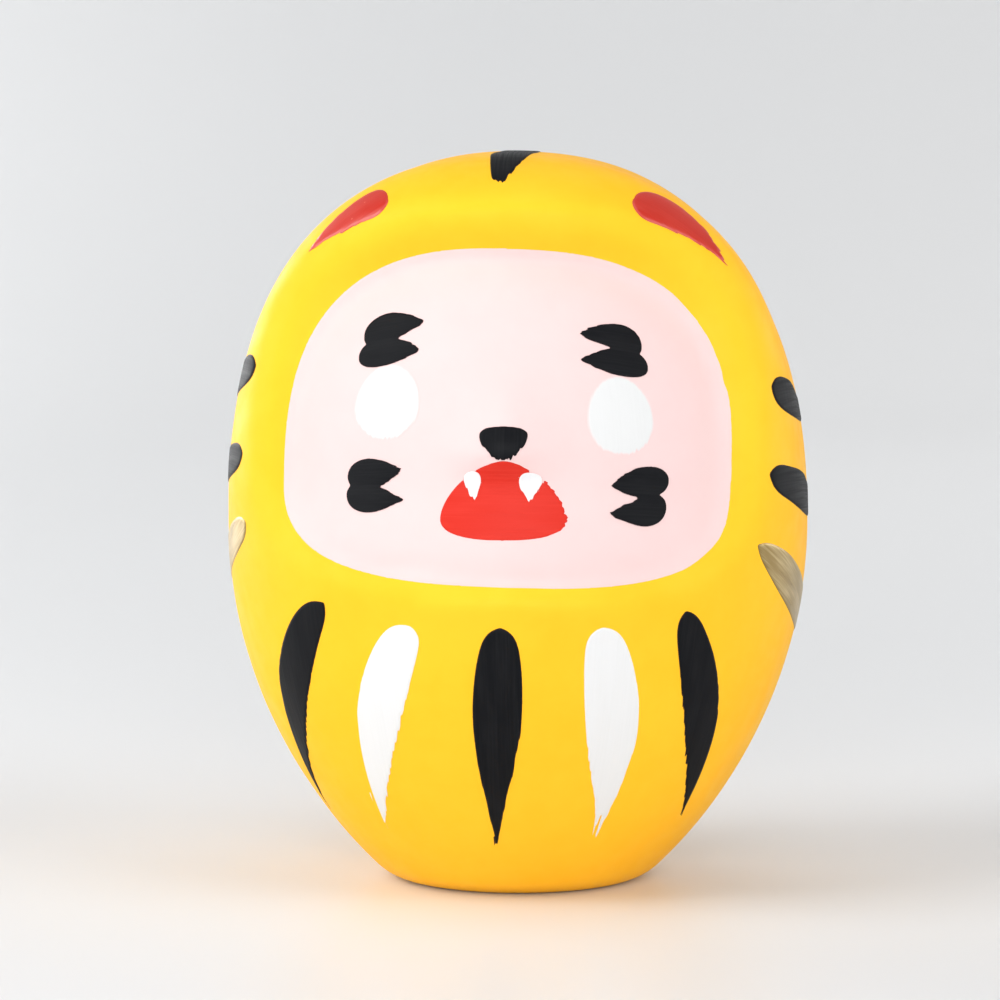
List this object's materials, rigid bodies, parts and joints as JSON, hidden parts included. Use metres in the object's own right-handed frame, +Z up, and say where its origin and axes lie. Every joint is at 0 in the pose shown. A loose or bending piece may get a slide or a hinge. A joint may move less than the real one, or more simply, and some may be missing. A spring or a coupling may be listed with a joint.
{
  "type": "daruma doll",
  "caption": "Egg-shaped papier-mache daruma painted as a tiger, with a sunken pink face in a yellow hood, brushed stripes and a weighted flat foot.",
  "frame": {"origin": "centre of the flat foot that the doll stands on", "axes": "+Z up through the crown, the face looks towards -Y, +X is the viewer's right"},
  "size_m": [0.0871, 0.083, 0.1097],
  "materials": {
    "clay": "unglazed, matt",
    "paper": "matt",
    "washi": "matt",
    "ground": "matt shell-lime ground",
    "yellow": "matt paint",
    "pink": "matt paint",
    "white": "matt paint",
    "black": "matt paint",
    "red": "matt paint",
    "ear_red": "matt paint",
    "gold": "metallic paint"
  },
  "bodies": {
    "root": {"paper_shell_front": "paper", "paper_shell_back": "paper", "seam_strip": "washi", "base_strip": "washi", "base_weight": "clay", "ground_coat": "ground", "yellow_coat": "yellow", "face_paint": "pink", "nose_spot": "black", "mouth": "red", "crown_stripe": "black", "crown_back_stripe": "black", "belly_stripe_far_left": "black", "belly_stripe_left": "white", "belly_stripe_middle": "black", "belly_stripe_right": "white", "belly_stripe_far_right": "black", "eye_left": "white", "eyebrow_left": "black", "whiskers_left": "black", "fang_left": "white", "ear_left": "ear_red", "gold_stripe_left": "gold", "side_stripe_left_upper": "black", "side_stripe_left_lower": "black", "eye_right": "white", "eyebrow_right": "black", "whiskers_right": "black", "fang_right": "white", "ear_right": "ear_red", "gold_stripe_right": "gold", "side_stripe_right_upper": "black", "side_stripe_right_lower": "black"}
  },
  "joints": []
}
